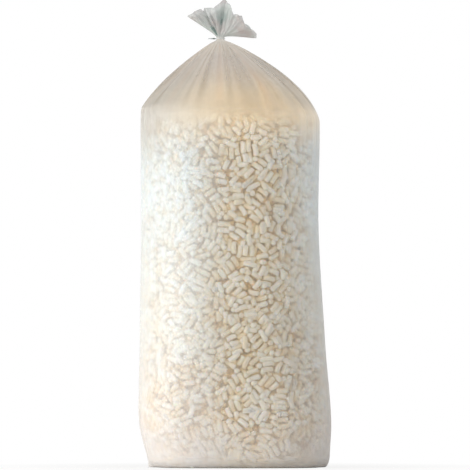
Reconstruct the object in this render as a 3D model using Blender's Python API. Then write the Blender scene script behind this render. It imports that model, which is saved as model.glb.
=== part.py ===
"""Tied polythene bag of packing peanuts: film tube, wire tie, heap of peanuts and loose ones on its crown.

Units are metres, +Z is up and the bag stands on the plane Z = 0 with its front towards -Y.
The origin is the middle of the flat base.
"""

import math
import random

import bmesh
import bpy
import numpy as np
from mathutils import Euler, Vector
from mathutils.bvhtree import BVHTree
from mathutils.geometry import delaunay_2d_cdt

# Clearance between pieces that touch, and what the facets of the film take out of its inside
TOUCH_GAP = 0.0003
FACET_ROOM = 0.0004

# Main sizes of the filled bag: overall width and depth, and the floor to the foot of the neck
BAG_WIDTH = 0.688
BAG_DEPTH = 0.634
NECK_BOTTOM = 1.539

# Film from the floor up: how far it stands out to the left, to the right and to front and back
FILM_WALL = 0.0004
HEEL_RADIUS = 0.040
BASE_REACH_LEFT = 0.454 * BAG_WIDTH
BASE_REACH_RIGHT = 0.491 * BAG_WIDTH
BASE_HALF_DEPTH = 0.435 * BAG_DEPTH
BELLY_HEIGHT = 0.110 * NECK_BOTTOM
BELLY_REACH = 0.500 * BAG_WIDTH
BELLY_HALF_DEPTH = 0.460 * BAG_DEPTH
HIP_HEIGHT = 0.299 * NECK_BOTTOM
HIP_REACH_LEFT = 0.500 * BAG_WIDTH
HIP_REACH_RIGHT = 0.468 * BAG_WIDTH
HIP_HALF_DEPTH = 0.478 * BAG_DEPTH
WAIST_HEIGHT = 0.559 * NECK_BOTTOM
WAIST_REACH_LEFT = 0.491 * BAG_WIDTH
WAIST_REACH_RIGHT = 0.433 * BAG_WIDTH
WAIST_HALF_DEPTH = 0.500 * BAG_DEPTH
SHOULDER_HEIGHT_LEFT = 0.837 * NECK_BOTTOM
SHOULDER_HEIGHT_RIGHT = 0.806 * NECK_BOTTOM
SHOULDER_HEIGHT_FRONT = 0.820 * NECK_BOTTOM
SHOULDER_REACH_LEFT = 0.496 * BAG_WIDTH
SHOULDER_REACH_RIGHT = 0.443 * BAG_WIDTH
SHOULDER_HALF_DEPTH = 0.492 * BAG_DEPTH
DOME_FULLNESS_LEFT = 1.12
DOME_FULLNESS_RIGHT = 1.50
DOME_FULLNESS_FRONT = 1.30
DOME_TUCK = 0.85
BASE_SQUARENESS = 3.0
WAIST_SQUARENESS = 2.5
NECK_SQUARENESS = 2.0
EAR_SPAN = math.radians(9)

# Gathered neck and the pleats that run down from it
NECK_X = -0.078 * BAG_WIDTH
NECK_RADIUS = 0.0145
NECK_LENGTH = 0.010
NECK_PLEAT_DEPTH = 0.0018
PLEATS = 16
PLEAT_DEPTH = 0.009
PLEAT_START = 0.812 * NECK_BOTTOM

# Tail of film above the tie: a ruffled fan, and its outline as pairs of fan angle (degrees) and length
TAIL_RISE = 0.008
TAIL_LEAN = math.radians(18)
TAIL_SPREAD = math.radians(73)
TAIL_DEPTH = math.radians(28)
TAIL_RUFFLE = math.radians(19)
TAIL_RUFFLES = 7
TAIL_OUTLINE = [
    (-55, 0.130),
    (-42, 0.125),
    (-31, 0.112),
    (-25, 0.116),
    (-11, 0.106),
    (7, 0.134),
    (16, 0.124),
    (30, 0.104),
    (44, 0.116),
    (66, 0.113),
    (79, 0.121),
    (91, 0.116),
]

# Film facets
FILM_COLUMNS = 64
HEEL_ROWS = 4
BELLY_ROWS = 3
BODY_ROWS = 8
DOME_ROWS = 9
TAIL_ROWS = 6

# Peanut: a short bent bar of extruded foam with rounded rims
PEANUT_LENGTH = 0.045
PEANUT_DIAMETER = 0.020
PEANUT_BEND = 0.0030
PEANUT_RIM = 0.0035
PEANUT_SIDES = 8

# Heap of peanuts
HEAP_EDGE_HEIGHT = 0.8085 * NECK_BOTTOM
HEAP_CROWN = 0.060
HEAP_UNROLLED_WIDTH = 1.56 * (BAG_WIDTH + BAG_DEPTH)
HEAP_CREST_DEPTH = 0.002
HEAP_UNEVENNESS = 0.004
HEAP_GAP_DEPTH = 0.014
HEAP_RING_POINTS = 72
HEAP_SEAM_PITCH = 0.026
HEAP_MARGIN = 0.012
GAP_LEAST_ROOM = 0.0105
GAP_PITCH = 0.027
HEAP_SEED = 11

# How the outer peanuts of the heap lie: least and most lean in degrees, least distance between two as a share
# of a peanut's width, share that lie beside another, and throws on the heap's side and on its crown
PEANUT_THROWS = [
    (0, 15, 0.97, 0.6, 26000, 3600),
    (35, 60, 0.94, 0.0, 9000, 1300),
    (90, 90, 0.96, 0.0, 7000, 1000),
]
MATE_TURN = math.radians(16)
MATE_SPACING = 1.22
MATE_SLIDE = 0.6

# Loose peanuts on the crown
LOOSE_PEANUTS = 36
LOOSE_SEED = 5
LOOSE_REACH = 0.80
LOOSE_TILT = 0.15
EDGE_STEPS = 10

# Wire tie
TIE_WIRE = 0.0024
TIE_TWIST_LENGTH = 0.014
TIE_TWIST_TURNS = 2.5
TIE_END_LENGTH = 0.009
TIE_END_SPREAD = 0.006
TIE_DIRECTION = math.radians(190)
TIE_TWIST_STEPS = 18
TIE_RING_STEPS = 26
TIE_SIDES = 6

# Finishes: colour, roughness, opacity
FILM_FINISH = ((0.80, 0.78, 0.73), 0.30, 0.45)
PEANUT_FINISH = ((0.90, 0.86, 0.78), 0.75, 1.0)
TIE_FINISH = ((0.52, 0.56, 0.56), 0.45, 1.0)


def clear_scene():
    for thing in list(bpy.data.objects):
        bpy.data.objects.remove(thing)


def finish_of(name, colour, roughness, opacity):
    material = bpy.data.materials.new(name)
    material.use_nodes = True
    shader = material.node_tree.nodes["Principled BSDF"]
    shader.inputs["Base Color"].default_value = (*colour, 1.0)
    shader.inputs["Roughness"].default_value = roughness
    shader.inputs["Metallic"].default_value = 0.0
    shader.inputs["Alpha"].default_value = opacity
    return material


def object_from(name, shape, material, parent):
    """A smooth-shaded object from a bmesh, which is freed."""
    mesh = bpy.data.meshes.new(name)
    shape.to_mesh(mesh)
    shape.free()
    mesh.shade_smooth()
    mesh.set_sharp_from_angle(angle=math.radians(50))
    mesh.materials.append(material)
    thing = bpy.data.objects.new(name, mesh)
    bpy.context.scene.collection.objects.link(thing)
    thing.parent = parent
    return thing


def eased(height, levels):
    """A value on a smooth curve through (height, value) pairs, level at the first and the last."""
    if height <= levels[0][0]:
        return levels[0][1]
    if height >= levels[-1][0]:
        return levels[-1][1]
    slopes = [0.0]
    for before, after in zip(levels, levels[2:]):
        slopes.append((after[1] - before[1]) / (after[0] - before[0]))
    slopes.append(0.0)
    row = max(i for i, level in enumerate(levels) if level[0] <= height)
    (low, start), (high, end) = levels[row : row + 2]
    span = high - low
    t = (height - low) / span
    ease = t * t * (3 - 2 * t)
    leaving = slopes[row] * span * t * (1 - t) ** 2
    arriving = slopes[row + 1] * span * t * t * (t - 1)
    return start + (end - start) * ease + leaving + arriving


def reach(height, levels, fullness, neck):
    """How far the film stands out at a height: eased up to the shoulder, then drawn in to the neck."""
    shoulder, widest = levels[-1]
    if height <= shoulder:
        return eased(height, levels)
    share = min(1.0, (height - shoulder) / (NECK_BOTTOM - shoulder))
    return neck + (widest - neck) * (1 - share**fullness) ** DOME_TUCK


def section(height):
    """Centre x, half width, half depth and squareness of the bag at a height."""
    core = NECK_RADIUS - NECK_PLEAT_DEPTH
    left = [
        (0.0, BASE_REACH_LEFT),
        (BELLY_HEIGHT, BELLY_REACH),
        (HIP_HEIGHT, HIP_REACH_LEFT),
        (WAIST_HEIGHT, WAIST_REACH_LEFT),
        (SHOULDER_HEIGHT_LEFT, SHOULDER_REACH_LEFT),
    ]
    right = [
        (0.0, BASE_REACH_RIGHT),
        (BELLY_HEIGHT, BELLY_REACH),
        (HIP_HEIGHT, HIP_REACH_RIGHT),
        (WAIST_HEIGHT, WAIST_REACH_RIGHT),
        (SHOULDER_HEIGHT_RIGHT, SHOULDER_REACH_RIGHT),
    ]
    front = [
        (0.0, BASE_HALF_DEPTH),
        (BELLY_HEIGHT, BELLY_HALF_DEPTH),
        (HIP_HEIGHT, HIP_HALF_DEPTH),
        (WAIST_HEIGHT, WAIST_HALF_DEPTH),
        (SHOULDER_HEIGHT_FRONT, SHOULDER_HALF_DEPTH),
    ]
    corners = [
        (0.0, BASE_SQUARENESS),
        (WAIST_HEIGHT, WAIST_SQUARENESS),
        (SHOULDER_HEIGHT_RIGHT, WAIST_SQUARENESS),
        (NECK_BOTTOM, NECK_SQUARENESS),
    ]
    out_left = reach(height, left, DOME_FULLNESS_LEFT, core - NECK_X)
    out_right = reach(height, right, DOME_FULLNESS_RIGHT, core + NECK_X)
    out_front = reach(height, front, DOME_FULLNESS_FRONT, core)
    half_width = (out_right + out_left) / 2
    return (out_right - out_left) / 2, half_width, out_front, eased(height, corners)


def section_point(angle, height, inset):
    """The point of the bag's section at a height in the direction of an angle, drawn in by inset."""
    centre, half_width, half_depth, square = section(height)
    c, s = math.cos(angle), math.sin(angle)
    across = abs(c / (half_width - inset)) ** square
    along = abs(s / (half_depth - inset)) ** square
    radius = (across + along) ** (-1 / square)
    return Vector((centre + radius * c, radius * s, height))


def heel_inset(height):
    """How far the rounded heel draws the section in near the floor."""
    drop = max(0.0, HEEL_RADIUS - height)
    return HEEL_RADIUS - math.sqrt(HEEL_RADIUS**2 - drop**2)


def ear_share(angle):
    """1 at the left end of the bottom weld, where the corner of the tube sticks out as an ear."""
    away = math.remainder(angle - math.pi, math.tau)
    return math.exp(-((away / EAR_SPAN) ** 2))


def pleat_wave(angle):
    """Uneven gathers round the neck, from -1 to 1."""
    drift = 0.9 * math.sin(3 * angle + 0.4) + 0.5 * math.sin(5 * angle + 2.0)
    return math.cos(PLEATS * angle + drift) * (0.8 + 0.2 * math.cos(2 * angle + 1.0))


def pleat_depth(height):
    middle = (PLEAT_START + NECK_BOTTOM) / 2
    levels = [
        (PLEAT_START, 0.0),
        (middle, PLEAT_DEPTH),
        (NECK_BOTTOM, NECK_PLEAT_DEPTH),
    ]
    return eased(height, levels)


def bag_point(angle, height):
    """Outside of the film from the floor up to the top of the neck."""
    inset = heel_inset(height) * (1 - ear_share(angle))
    level = min(height, NECK_BOTTOM)
    point = section_point(angle, level, inset)
    out = Vector((math.cos(angle), math.sin(angle), 0))
    point += out * pleat_depth(level) * pleat_wave(angle)
    point.z = height
    return point


def tail_length(fan):
    """Length of the tail at a fan angle, straight between the corners of its outline."""
    degrees = math.degrees(fan)
    for (low, start), (high, end) in zip(TAIL_OUTLINE, TAIL_OUTLINE[1:]):
        if degrees <= high:
            return start + (end - start) * max(0.0, degrees - low) / (high - low)
    return TAIL_OUTLINE[-1][1]


def tail_point(angle, share):
    """Outside of the tail: each column leaves the neck upright and bends over into the fan."""
    root = bag_point(angle, NECK_BOTTOM + NECK_LENGTH)
    fan = TAIL_LEAN + TAIL_SPREAD * math.cos(angle)
    out = TAIL_DEPTH * math.sin(angle) + TAIL_RUFFLE * math.cos(TAIL_RUFFLES * angle)
    direction = Vector(
        (
            math.sin(fan) * math.cos(out),
            math.sin(out),
            math.cos(fan) * math.cos(out),
        )
    )
    tip = root + direction * tail_length(fan)
    bend = root + Vector((0, 0, TAIL_RISE))
    return root * (1 - share) ** 2 + bend * 2 * share * (1 - share) + tip * share**2


def spaced(low, high, count):
    """count heights after low, evenly spaced and ending at high."""
    return [low + (high - low) * (i + 1) / count for i in range(count)]


def ring_angles(count):
    return [math.tau * i / count for i in range(count)]


def bridge(shape, lower, upper):
    """Side faces between two closed rings of equal count."""
    count = len(lower)
    for i in range(count):
        j = (i + 1) % count
        shape.faces.new((lower[i], lower[j], upper[j], upper[i]))


def make_film(material, parent):
    """One blown tube: flat base, rounded heel, body, pleated dome, neck and tail, walled by Solidify."""
    heel = [
        HEEL_RADIUS * (1 - math.cos(math.pi / 2 * i / HEEL_ROWS))
        for i in range(HEEL_ROWS + 1)
    ]
    body = spaced(HEEL_RADIUS, BELLY_HEIGHT, BELLY_ROWS) + spaced(BELLY_HEIGHT, PLEAT_START, BODY_ROWS)
    dome = spaced(PLEAT_START, NECK_BOTTOM, DOME_ROWS)
    heights = heel + body + dome + [NECK_BOTTOM + NECK_LENGTH]
    angles = ring_angles(FILM_COLUMNS)
    shape = bmesh.new()
    rings = [[shape.verts.new(bag_point(a, h)) for a in angles] for h in heights]
    for row in range(1, TAIL_ROWS + 1):
        rings.append([shape.verts.new(tail_point(a, row / TAIL_ROWS)) for a in angles])
    for lower, upper in zip(rings, rings[1:]):
        bridge(shape, lower, upper)
    shape.faces.new(reversed(rings[0]))
    film = object_from("bag_film", shape, material, parent)
    wall = film.modifiers.new("film wall", "SOLIDIFY")
    wall.thickness = FILM_WALL
    wall.offset = -1
    wall.use_rim = True
    return film


def heap_wall_point(across, along, depth):
    """A point of the heap's side: across is unrolled round the bag, along runs up from the base's rim."""
    angle = math.pi / 2 + math.tau * across / HEAP_UNROLLED_WIDTH
    inset = FILM_WALL + TOUCH_GAP + FACET_ROOM
    floor = FILM_WALL + TOUCH_GAP
    radius = HEEL_RADIUS - inset
    quarter = math.pi / 2 * radius
    if along < quarter:
        turn = along / radius
        height = floor + radius - (radius - depth) * math.cos(turn)
        return section_point(angle, height, inset + radius - (radius - depth) * math.sin(turn))
    return section_point(angle, floor + radius + along - quarter, inset + depth)


def heap_wall_height():
    """Length of the heap's side from the base's rim up to its top edge."""
    inset = FILM_WALL + TOUCH_GAP + FACET_ROOM
    radius = HEEL_RADIUS - inset
    return HEAP_EDGE_HEIGHT - FILM_WALL - TOUCH_GAP - radius + math.pi / 2 * radius


def crown_point(x, y, depth):
    """A point of the heap's top, which swells towards its middle."""
    inset = FILM_WALL + TOUCH_GAP + FACET_ROOM
    centre = section(HEAP_EDGE_HEIGHT)[0]
    rim = section_point(math.atan2(y, x), HEAP_EDGE_HEIGHT, inset)
    share = math.hypot(x, y) / math.hypot(rim.x - centre, rim.y)
    swell = HEAP_CROWN * (1 - share * share)
    return Vector((centre + x, y, HEAP_EDGE_HEIGHT + swell - depth))


def draw_in(shape, film):
    """Move every corner of the heap that is too near the film's sides straight in from it."""
    tree = BVHTree.FromPolygons(
        [v.co for v in film.data.vertices], [p.vertices[:] for p in film.data.polygons]
    )
    room = FILM_WALL + TOUCH_GAP + FACET_ROOM
    for vertex in shape.verts:
        if vertex.co.z < FILM_WALL + 2 * TOUCH_GAP:
            continue
        for _ in range(3):
            foot, outward, _, _ = tree.find_nearest(vertex.co)
            short = room - (foot - vertex.co).dot(outward)
            if short > 0:
                vertex.co -= outward * short


def nearest(points, starts, ends):
    """Least distance of each point from any of the segments."""
    run = ends - starts
    length = np.maximum((run * run).sum(1), 1e-12)
    share = np.einsum("pij,ij->pi", points[:, None] - starts[None], run) / length
    foot = starts[None] + np.clip(share, 0, 1)[..., None] * run[None]
    return np.linalg.norm(points[:, None] - foot, axis=2).min(1)


def nearest_of_many(points, starts, ends):
    """nearest for a long list of points, in batches that fit the memory."""
    batches = np.array_split(points, 1 + len(points) // 500)
    return np.concatenate([nearest(batch, starts, ends) for batch in batches])


def throw_peanuts(draw, low, high, inside, place):
    """Outer peanuts thrown at random on a flat area: start and end of each crest, its depth and its drop."""
    length = PEANUT_LENGTH - PEANUT_DIAMETER
    starts, ends = np.zeros((0, 2)), np.zeros((0, 2))
    depths = []
    for least, most, closeness, beside, *throws in PEANUT_THROWS:
        for _ in range(throws[place]):
            middle = np.array([draw.uniform(low[0], high[0]), draw.uniform(low[1], high[1])])
            turn = draw.uniform(0, math.tau)
            if len(starts) > 0 and draw.random() < beside:
                mate = draw.randrange(len(starts))
                run = ends[mate] - starts[mate]
                turn = math.atan2(run[1], run[0]) + draw.uniform(-MATE_TURN, MATE_TURN)
                across = np.array([-run[1], run[0]]) / np.hypot(run[0], run[1])
                step = draw.uniform(closeness, MATE_SPACING) * draw.choice((-1, 1)) * PEANUT_DIAMETER
                slide = draw.uniform(-MATE_SLIDE, MATE_SLIDE)
                middle = (starts[mate] + ends[mate]) / 2 + across * step + run * slide
            lean = math.radians(draw.uniform(least, most))
            depth = HEAP_CREST_DEPTH + draw.uniform(0, HEAP_UNEVENNESS)
            arm = length / 2 * math.cos(lean) * np.array([math.cos(turn), math.sin(turn)])
            start, end = middle - arm, middle + arm
            if not (inside(start) and inside(end)):
                continue
            near = np.abs(starts + ends - 2 * middle).max(axis=1, initial=0) < 2 * PEANUT_LENGTH
            if near.any():
                s, e = starts[near], ends[near]
                ours = nearest(np.array([start, end]), s, e).min()
                theirs = nearest(np.concatenate([s, e]), start[None], end[None]).min()
                if min(ours, theirs) < closeness * PEANUT_DIAMETER:
                    continue
            starts, ends = np.vstack([starts, start]), np.vstack([ends, end])
            depths.append((depth, length * math.sin(lean)))
    return starts, ends, depths


def triangulate(border, peanuts):
    """Delaunay triangles over a border, the peanuts' crests and the gaps between them.

    Gives the points, how deep those inside the border lie, the faces, and the points that each corner is.
    """
    starts, ends, lies = peanuts
    first = len(border)
    points = [Vector(p) for p in border]
    edges = [(i, (i + 1) % first) for i in range(first)]
    depths = []
    for start, end, (depth, drop) in zip(starts, ends, lies):
        points.append(Vector(start))
        depths.append(depth)
        if drop < PEANUT_LENGTH - PEANUT_DIAMETER:
            edges.append((len(points) - 1, len(points)))
            points.append(Vector(end))
            depths.append(min(depth + drop, HEAP_GAP_DEPTH))
    found = delaunay_2d_cdt(points, edges, [], 0, 1e-7)
    middles = np.array([np.mean([found[0][v] for v in face], axis=0) for face in found[2]])
    room = nearest_of_many(middles, starts, ends)
    picked = np.zeros((0, 2))
    for i in np.argsort(-room, kind="stable"):
        if room[i] < GAP_LEAST_ROOM:
            break
        apart = np.linalg.norm(picked - middles[i], axis=1)
        if len(picked) == 0 or apart.min() > GAP_PITCH:
            picked = np.vstack([picked, middles[i]])
    points += [Vector(p) for p in picked]
    depths += [HEAP_GAP_DEPTH] * len(picked)
    found = delaunay_2d_cdt(points, edges, [], 0, 1e-7)
    return points, depths, found[2], found[3]


def heap_border():
    """Unrolled outline of the heap's side: bottom, up the seam, back along the top and down again."""
    high = heap_wall_height()
    steps = round(high / HEAP_SEAM_PITCH)
    step = HEAP_UNROLLED_WIDTH / HEAP_RING_POINTS
    bottom = [(step * i, 0.0) for i in range(HEAP_RING_POINTS)]
    right = [(HEAP_UNROLLED_WIDTH, high * i / steps) for i in range(steps)]
    top = [(HEAP_UNROLLED_WIDTH - step * i, high) for i in range(HEAP_RING_POINTS)]
    left = [(0.0, high * (steps - i) / steps) for i in range(steps)]
    return bottom, right, top, left


def make_heap(film, material, parent):
    """The peanuts below the crown, fused: a flat base, and the crests and gaps of a random pack."""
    draw = random.Random(HEAP_SEED)
    high = heap_wall_height()
    margin = HEAP_MARGIN
    bottom, right, top, left = heap_border()
    border = bottom + right + top + left
    size = (HEAP_UNROLLED_WIDTH, high)

    def inside_wall(point):
        return margin < point[0] < size[0] - margin and margin < point[1] < size[1] - margin

    peanuts = throw_peanuts(draw, (0, 0), size, inside_wall, 0)
    points, depths, faces, origins = triangulate(border, peanuts)

    def depth_of(index):
        if index < len(border):
            along = border[index][1]
            return 0.0 if along in (0.0, high) else HEAP_GAP_DEPTH * (index % 2)
        return depths[index - len(border)]

    shape = bmesh.new()
    seam = {}
    corner = len(bottom)
    for i in range(len(right)):
        seam[corner + i] = 0 if i == 0 else len(border) - i
    seam[corner + len(right)] = len(bottom) + len(right) + len(top)
    made = {}
    for index in range(len(points)):
        if index not in seam:
            made[index] = shape.verts.new(heap_wall_point(*points[index], depth_of(index)))
    for index, twin in seam.items():
        made[index] = made[twin]
    for face in faces:
        shape.faces.new([made[origins[v][0]] for v in face])
    shape.faces.new([made[i] for i in reversed(range(len(bottom)))])

    rim_first = len(bottom) + len(right)
    rim = [made[rim_first + i] for i in range(len(top))]
    centre, half_width, half_depth, square = section(HEAP_EDGE_HEIGHT)
    inset = FILM_WALL + TOUCH_GAP + FACET_ROOM
    outline = [(v.co.x - centre, v.co.y) for v in rim]
    far = (half_width - inset, half_depth - inset)

    def inside_crown(point):
        across = abs(point[0]) / (far[0] - margin)
        along = abs(point[1]) / (far[1] - margin)
        return across**square + along**square < 1

    peanuts = throw_peanuts(draw, (-far[0], -far[1]), far, inside_crown, 1)
    points, depths, faces, origins = triangulate(outline, peanuts)
    made = dict(enumerate(rim))
    for index in range(len(outline), len(points)):
        depth = depths[index - len(outline)]
        made[index] = shape.verts.new(crown_point(*points[index], depth))
    for face in faces:
        shape.faces.new([made[origins[v][0]] for v in face])
    draw_in(shape, film)
    return object_from("peanut_heap", shape, material, parent)


def peanut_mesh(material):
    """A bar of foam with flat cut ends and rounded rims, bent a little along its length, lying along X."""
    radius = PEANUT_DIAMETER / 2
    half = PEANUT_LENGTH / 2
    stations = [
        (-half, radius - PEANUT_RIM),
        (-half + PEANUT_RIM, radius),
        (0.0, radius),
        (half - PEANUT_RIM, radius),
        (half, radius - PEANUT_RIM),
    ]
    shape = bmesh.new()
    rings = []
    for x, r in stations:
        lift = PEANUT_BEND * (1 - (x / half) ** 2)
        ring = [
            shape.verts.new((x, r * math.cos(a) + lift, r * math.sin(a)))
            for a in ring_angles(PEANUT_SIDES)
        ]
        rings.append(ring)
    for lower, upper in zip(rings, rings[1:]):
        bridge(shape, lower, upper)
    shape.faces.new(rings[0])
    shape.faces.new(rings[-1])
    bmesh.ops.recalc_face_normals(shape, faces=shape.faces)
    mesh = bpy.data.meshes.new("peanut")
    shape.to_mesh(mesh)
    shape.free()
    mesh.shade_smooth()
    mesh.set_sharp_from_angle(angle=math.radians(50))
    mesh.materials.append(material)
    return mesh


def tree_of(mesh, matrix):
    """A mesh's faces in world space, for finding contacts."""
    corners = [matrix @ v.co for v in mesh.vertices]
    return BVHTree.FromPolygons(corners, [p.vertices[:] for p in mesh.polygons])


def edge_samples(mesh, matrix):
    """Points along every edge of a mesh in world space."""
    corners = [matrix @ v.co for v in mesh.vertices]
    return [
        corners[a].lerp(corners[b], i / EDGE_STEPS)
        for a, b in (edge.vertices for edge in mesh.edges)
        for i in range(EDGE_STEPS + 1)
    ]


def drop_onto(heap_tree, heap_samples, mesh, matrix):
    """How far a piece held above the heap can fall before it touches."""
    down, up = Vector((0, 0, -1)), Vector((0, 0, 1))
    room = math.inf
    for point in edge_samples(mesh, matrix):
        hit = heap_tree.ray_cast(point, down)
        if hit[0] is not None:
            room = min(room, hit[3])
    tree = tree_of(mesh, matrix)
    for point in heap_samples:
        if abs(point.x - matrix.translation.x) < PEANUT_LENGTH and (
            abs(point.y - matrix.translation.y) < PEANUT_LENGTH
        ):
            hit = tree.ray_cast(point, up)
            if hit[0] is not None:
                room = min(room, hit[3])
    return room


def make_loose_peanuts(heap, material, parent):
    """Single peanuts lying on the crown, each lowered until it all but touches the heap."""
    draw = random.Random(LOOSE_SEED)
    mesh = peanut_mesh(material)
    tree = tree_of(heap.data, heap.matrix_world)
    lowest = HEAP_EDGE_HEIGHT - PEANUT_DIAMETER
    samples = [p for p in edge_samples(heap.data, heap.matrix_world) if p.z > lowest]
    centre, half_width, half_depth, _ = section(HEAP_EDGE_HEIGHT)
    reach_x, reach_y = LOOSE_REACH * half_width, LOOSE_REACH * half_depth
    placed = []
    while len(placed) < LOOSE_PEANUTS:
        x, y = draw.uniform(-reach_x, reach_x), draw.uniform(-reach_y, reach_y)
        if (x / reach_x) ** 2 + (y / reach_y) ** 2 > 1:
            continue
        if any(math.hypot(x - p[0], y - p[1]) < PEANUT_LENGTH + 2 * PEANUT_BEND for p in placed):
            continue
        placed.append((x, y))
        name = f"peanut_{len(placed):02d}"
        peanut = bpy.data.objects.new(name, mesh)
        bpy.context.scene.collection.objects.link(peanut)
        tilt = draw.uniform(-LOOSE_TILT, LOOSE_TILT)
        peanut.rotation_euler = Euler((draw.uniform(0, math.tau), tilt, draw.uniform(0, math.pi)))
        held = HEAP_EDGE_HEIGHT + HEAP_CROWN + 2 * PEANUT_LENGTH
        peanut.location = (centre + x, y, held)
        bpy.context.view_layer.update()
        peanut.location.z -= drop_onto(tree, samples, mesh, peanut.matrix_world)
        bpy.context.view_layer.update()
        while tree.overlap(tree_of(mesh, peanut.matrix_world)):
            peanut.location.z += TOUCH_GAP
            bpy.context.view_layer.update()
        peanut.location.z += TOUCH_GAP
        peanut.parent = parent


def tie_route():
    """Centre line of the wire: in along the twist, round the neck, and out along the twist again."""
    radius = TIE_WIRE / 2
    ring = NECK_RADIUS + TOUCH_GAP + radius
    strand = radius + TOUCH_GAP
    height = NECK_BOTTOM + NECK_LENGTH / 2
    centre = Vector((NECK_X, 0, height))
    out = Vector((math.cos(TIE_DIRECTION), math.sin(TIE_DIRECTION), 0))
    side = Vector((-out.y, out.x, 0))
    up = Vector((0, 0, 1))
    twist_start = ring + 2 * TIE_WIRE
    leave = math.acos(ring / twist_start)

    def strand_points(sign):
        points = []
        for i in range(TIE_TWIST_STEPS + 1):
            share = i / TIE_TWIST_STEPS
            turn = math.tau * TIE_TWIST_TURNS * share
            wide = side * math.cos(turn) + up * math.sin(turn)
            along = out * (twist_start + TIE_TWIST_LENGTH * share)
            points.append(centre + along + wide * strand * sign)
        last = points[-1]
        spread = (points[-1] - centre - out * (twist_start + TIE_TWIST_LENGTH)).normalized()
        for share in (0.35, 0.7, 1.0):
            points.append(last + out * TIE_END_LENGTH * share + spread * TIE_END_SPREAD * share**1.5)
        return points

    round_neck = []
    for i in range(TIE_RING_STEPS + 1):
        turn = leave + (math.tau - 2 * leave) * i / TIE_RING_STEPS
        round_neck.append(centre + (out * math.cos(turn) + side * math.sin(turn)) * ring)
    return strand_points(1)[::-1] + round_neck + strand_points(-1)


def make_tie(material, parent):
    """One length of sleeved wire swept as a round bar, with flat cut ends."""
    route = tie_route()
    shape = bmesh.new()
    rings = []
    normal = Vector((0, 0, 1))
    for i, point in enumerate(route):
        ahead = (route[min(i + 1, len(route) - 1)] - route[max(i - 1, 0)]).normalized()
        normal = (normal - ahead * normal.dot(ahead)).normalized()
        across = ahead.cross(normal)
        ring = [
            shape.verts.new(
                point + (normal * math.cos(a) + across * math.sin(a)) * (TIE_WIRE / 2)
            )
            for a in ring_angles(TIE_SIDES)
        ]
        rings.append(ring)
    for lower, upper in zip(rings, rings[1:]):
        bridge(shape, lower, upper)
    shape.faces.new(rings[0])
    shape.faces.new(rings[-1])
    bmesh.ops.recalc_face_normals(shape, faces=shape.faces)
    return object_from("neck_tie", shape, material, parent)


def main():
    clear_scene()
    parent = bpy.data.objects.new("peanut_bag", None)
    bpy.context.scene.collection.objects.link(parent)
    film_material = finish_of("polythene_film", *FILM_FINISH)
    peanut_material = finish_of("foam_peanut", *PEANUT_FINISH)
    tie_material = finish_of("coated_wire", *TIE_FINISH)
    film = make_film(film_material, parent)
    heap = make_heap(film, peanut_material, parent)
    make_loose_peanuts(heap, peanut_material, parent)
    make_tie(tie_material, parent)


main()
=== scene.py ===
import itertools
import math
import random

import bpy
import numpy as np
from mathutils import Matrix, Vector


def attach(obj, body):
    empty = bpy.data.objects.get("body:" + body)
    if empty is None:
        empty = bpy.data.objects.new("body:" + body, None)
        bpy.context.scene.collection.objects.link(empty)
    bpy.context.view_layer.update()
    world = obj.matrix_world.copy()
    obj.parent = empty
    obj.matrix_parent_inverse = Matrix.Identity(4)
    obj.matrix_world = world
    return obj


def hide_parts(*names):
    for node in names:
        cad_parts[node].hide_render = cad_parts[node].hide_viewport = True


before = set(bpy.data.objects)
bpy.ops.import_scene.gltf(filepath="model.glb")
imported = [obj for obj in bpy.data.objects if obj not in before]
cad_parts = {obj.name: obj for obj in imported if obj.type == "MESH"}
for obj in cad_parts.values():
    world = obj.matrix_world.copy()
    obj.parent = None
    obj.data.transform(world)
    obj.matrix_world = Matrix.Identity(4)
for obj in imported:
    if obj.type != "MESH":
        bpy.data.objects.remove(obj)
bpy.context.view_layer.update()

# Camera
# A long lens a little above the floor, looking very slightly up, as the photograph shows the crown of the
# fill as an arch and the base as a level line.
CAMERA_DISTANCE = 14.0
CAMERA_HEIGHT = 0.25
CAMERA_AIM = (-0.001, 0.0, 0.835)
FRAME_HEIGHT = 1.692


def add_object(name, data):
    thing = bpy.data.objects.new(name, data)
    bpy.context.scene.collection.objects.link(thing)
    return thing


camera_data = bpy.data.cameras.new("camera")
camera = add_object("camera", camera_data)
camera.location = (CAMERA_AIM[0], -CAMERA_DISTANCE, CAMERA_HEIGHT)
camera.rotation_euler = (Vector(CAMERA_AIM) - camera.location).to_track_quat("-Z", "Y").to_euler()
camera_data.sensor_fit = "HORIZONTAL"
camera_data.angle = 2 * math.atan(FRAME_HEIGHT / 2 / CAMERA_DISTANCE)
camera_data.clip_end = 100.0  # metres, past the far edge of the floor
bpy.context.scene.camera = camera

# Bag film, the shape of the filled tube
# Blown polythene tube 1.05 m wide laid flat, filled and stood on its welded end. The girth stays that of the
# tube up to the shoulders, and above them the film is drawn in to the neck in folds.
BAG_WIDTH = 0.688
BAG_DEPTH = 0.634
NECK_BOTTOM = 1.539
NECK_TOP = 1.549
NECK_X = -0.0537
NECK_RADIUS = 0.0138
HEEL_RADIUS = 0.040
# Below 1 the dome is round towards the neck, and a larger fullness keeps it wide further up.
DOME_TUCK = 0.85
LEFT_FULLNESS, RIGHT_FULLNESS, FRONT_FULLNESS = 1.12, 1.50, 1.30


def curve_through(height, knots):
    """A smooth curve through (height, value) knots, level at both ends."""
    at, value = np.array(knots).T
    slope = np.zeros(len(at))
    slope[1:-1] = (value[2:] - value[:-2]) / (at[2:] - at[:-2])
    height = np.clip(height, at[0], at[-1])
    row = np.clip(np.searchsorted(at, height, side="right") - 1, 0, len(at) - 2)
    span = at[row + 1] - at[row]
    t = (height - at[row]) / span
    ease = t * t * (3 - 2 * t)
    leaving = slope[row] * span * t * (1 - t) ** 2
    arriving = slope[row + 1] * span * t * t * (t - 1)
    return value[row] + (value[row + 1] - value[row]) * ease + leaving + arriving


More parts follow.
